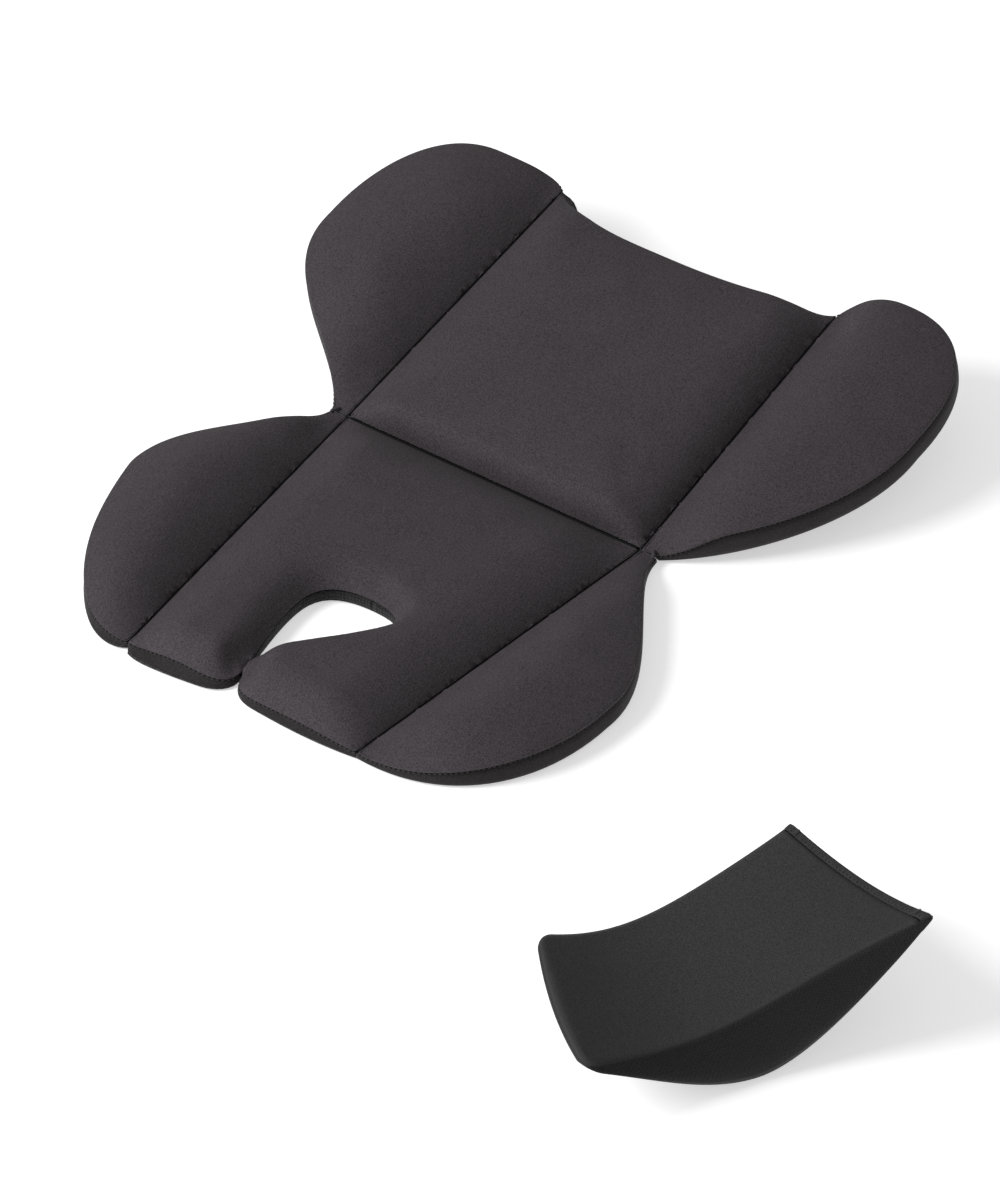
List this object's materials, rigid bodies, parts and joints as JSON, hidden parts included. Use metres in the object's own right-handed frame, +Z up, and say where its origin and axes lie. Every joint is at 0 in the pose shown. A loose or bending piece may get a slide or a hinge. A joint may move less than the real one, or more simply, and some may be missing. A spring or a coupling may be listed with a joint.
{
  "type": "newborn insert set",
  "caption": "Padded butterfly-shaped newborn inlay with folding shoulder and hip wings, a crotch strap slot, and a loose covered foam wedge.",
  "frame": {"origin": "on the seat cell's underside, on the centre line, midway between the waist seam and the crotch strap slot", "axes": "+Y towards the head end, +Z up from the surface the seat cell lies on, +X to the right seen from the front edge"},
  "size_m": [0.7458, 0.702, 0.09],
  "materials": {
    "cover_fabric": "soft brushed knit, matt, charcoal with a warm cast",
    "gusset_fabric": "smooth plain knit, matt, a shade darker than the top",
    "lining_mesh": "fine spacer mesh, matt black",
    "slot_mesh": "coarse open knit, matt black",
    "seam_fabric": "rolled fabric edge with thread, black",
    "foam": "open-cell polyether foam, off-white, matt",
    "wedge_fabric": "fine ribbed knit, matt, neutral charcoal",
    "wedge_mesh": "fine spacer mesh, matt, purple-black",
    "closing_tape": "woven hook-and-loop tape, black",
    "thread": "polyester thread, slight sheen, black"
  },
  "bodies": {
    "seat": {"seat_top_cover": "cover_fabric", "seat_foam": "foam", "seat_underside": "lining_mesh", "seat_front_gusset": "gusset_fabric", "slot_wall": "slot_mesh", "waist_seam": "seam_fabric", "left_hip_seam": "seam_fabric", "right_hip_seam": "seam_fabric"},
    "back": {"back_top_cover": "cover_fabric", "back_foam": "foam", "back_underside": "lining_mesh", "back_head_gusset": "gusset_fabric", "left_shoulder_seam": "seam_fabric", "right_shoulder_seam": "seam_fabric"},
    "left_shoulder_wing": {"left_shoulder_top_cover": "cover_fabric", "left_shoulder_foam": "foam", "left_shoulder_underside": "lining_mesh", "left_shoulder_gusset": "gusset_fabric"},
    "right_shoulder_wing": {"right_shoulder_top_cover": "cover_fabric", "right_shoulder_foam": "foam", "right_shoulder_underside": "lining_mesh", "right_shoulder_gusset": "gusset_fabric"},
    "left_hip_wing": {"left_hip_top_cover": "cover_fabric", "left_hip_foam": "foam", "left_hip_underside": "lining_mesh", "left_hip_gusset": "gusset_fabric"},
    "right_hip_wing": {"right_hip_top_cover": "cover_fabric", "right_hip_foam": "foam", "right_hip_underside": "lining_mesh", "right_hip_gusset": "gusset_fabric"},
    "wedge": {"wedge_foam": "foam", "wedge_top_cover": "wedge_fabric", "wedge_underside_cover": "wedge_fabric", "wedge_near_side_panel": "wedge_mesh", "wedge_far_side_panel": "wedge_mesh", "wedge_opening_hem": "wedge_fabric", "wedge_hook_tape": "closing_tape", "wedge_loop_tape": "closing_tape", "wedge_bar_tacks": "thread"}
  },
  "joints": [
    {"name": "back_fold", "type": "hinge", "parent": "seat", "child": "back", "pos_m": [0, 0.0725, 0.005], "axis": [1, 0, 0], "range_deg": [-11.6, 40]},
    {"name": "left_shoulder_fold", "type": "hinge", "parent": "back", "child": "left_shoulder_wing", "pos_m": [-0.116, 0.1876, 0.02863], "axis": [0.0255, 0.9793, 0.201], "range_deg": [0, 50]},
    {"name": "right_shoulder_fold", "type": "hinge", "parent": "back", "child": "right_shoulder_wing", "pos_m": [0.116, 0.1876, 0.02863], "axis": [0.0255, -0.9793, -0.201], "range_deg": [0, 50]},
    {"name": "left_hip_fold", "type": "hinge", "parent": "seat", "child": "left_hip_wing", "pos_m": [-0.105, -0.062, 0.005], "axis": [-0.1035, 0.9946, 0], "range_deg": [0, 50]},
    {"name": "right_hip_fold", "type": "hinge", "parent": "seat", "child": "right_hip_wing", "pos_m": [0.105, -0.062, 0.005], "axis": [-0.1035, -0.9946, 0], "range_deg": [0, 50]},
    {"name": "wedge_lift", "type": "slide", "parent": "seat", "child": "wedge", "axis": [0, 0, 1], "range_m": [0, 0.15]}
  ]
}
